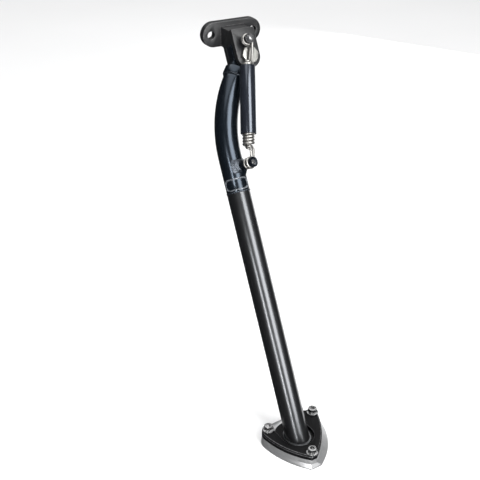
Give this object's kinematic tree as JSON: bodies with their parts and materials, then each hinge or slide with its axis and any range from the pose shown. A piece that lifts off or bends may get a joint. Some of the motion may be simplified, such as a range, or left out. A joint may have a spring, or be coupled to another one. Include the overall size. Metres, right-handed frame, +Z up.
{
  "type": "motorcycle side stand",
  "caption": "Folding side stand: bent tubular leg on a bolted fork bracket, nested springs under a sleeve, and a screwed clamp-on foot.",
  "frame": {"origin": "midway between the two bracket bolts, on the bracket face that meets the motorcycle's frame", "axes": "+X to the motorcycle's rear along the line of the bracket bolts, +Y inwards along the bolts into the motorcycle's frame, +Z up; the leg is at rest deployed, with its foot flat on the ground"},
  "size_m": [0.1107, 0.2761, 0.398],
  "materials": {
    "bracket_black": "satin black powder coat",
    "gloss_black": "gloss blue-black coat",
    "satin_black": "satin neutral black coat",
    "sleeve_black": "gloss extruded sleeve",
    "spring_wire": "bright zinc-plated spring wire",
    "zinc_steel": "zinc plate",
    "bright_steel": "stainless, bright",
    "bush_bronze": "sintered bronze",
    "bare_aluminium": "machined, fine tool marks",
    "anodised_black": "matt black anodised"
  },
  "bodies": {
    "bracket": {"frame_bracket": "bracket_black", "bracket_spring_post": "bracket_black", "pivot_bolt": "zinc_steel", "pivot_nut": "zinc_steel"},
    "leg": {"leg_head": "gloss_black", "pivot_bush": "bush_bronze", "thrust_washers": "zinc_steel", "head_weld": "gloss_black", "upper_tube": "gloss_black", "joint_spigot": "satin_black", "joint_weld": "gloss_black", "oval_pad": "gloss_black", "lower_tube": "satin_black", "leg_spring_post": "gloss_black", "post_weld": "gloss_black", "post_gusset": "gloss_black", "foot_plate": "satin_black", "foot_weld": "satin_black", "foot_base": "bare_aluminium", "foot_clamp": "anodised_black", "foot_screws": "bright_steel", "foot_washers": "bright_steel"},
    "springs": {"outer_spring": "spring_wire", "inner_spring": "spring_wire", "spring_sleeve": "sleeve_black"}
  },
  "joints": [
    {"name": "leg_fold", "type": "hinge", "parent": "bracket", "child": "leg", "pos_m": [0, -0.034, -0.022], "axis": [0, -0.866, 0.5], "range_deg": [0, 96]},
    {"name": "spring_swing", "type": "hinge", "parent": "bracket", "child": "springs", "pos_m": [-0.003, -0.04718, 0.00235], "axis": [0, -0.866, 0.5], "range_deg": [0, 87], "deforming": ["outer_spring", "inner_spring"]}
  ],
  "couplings": [
    {"joint": "spring_swing", "follows": "leg_fold", "ratio": 0.9005}
  ]
}
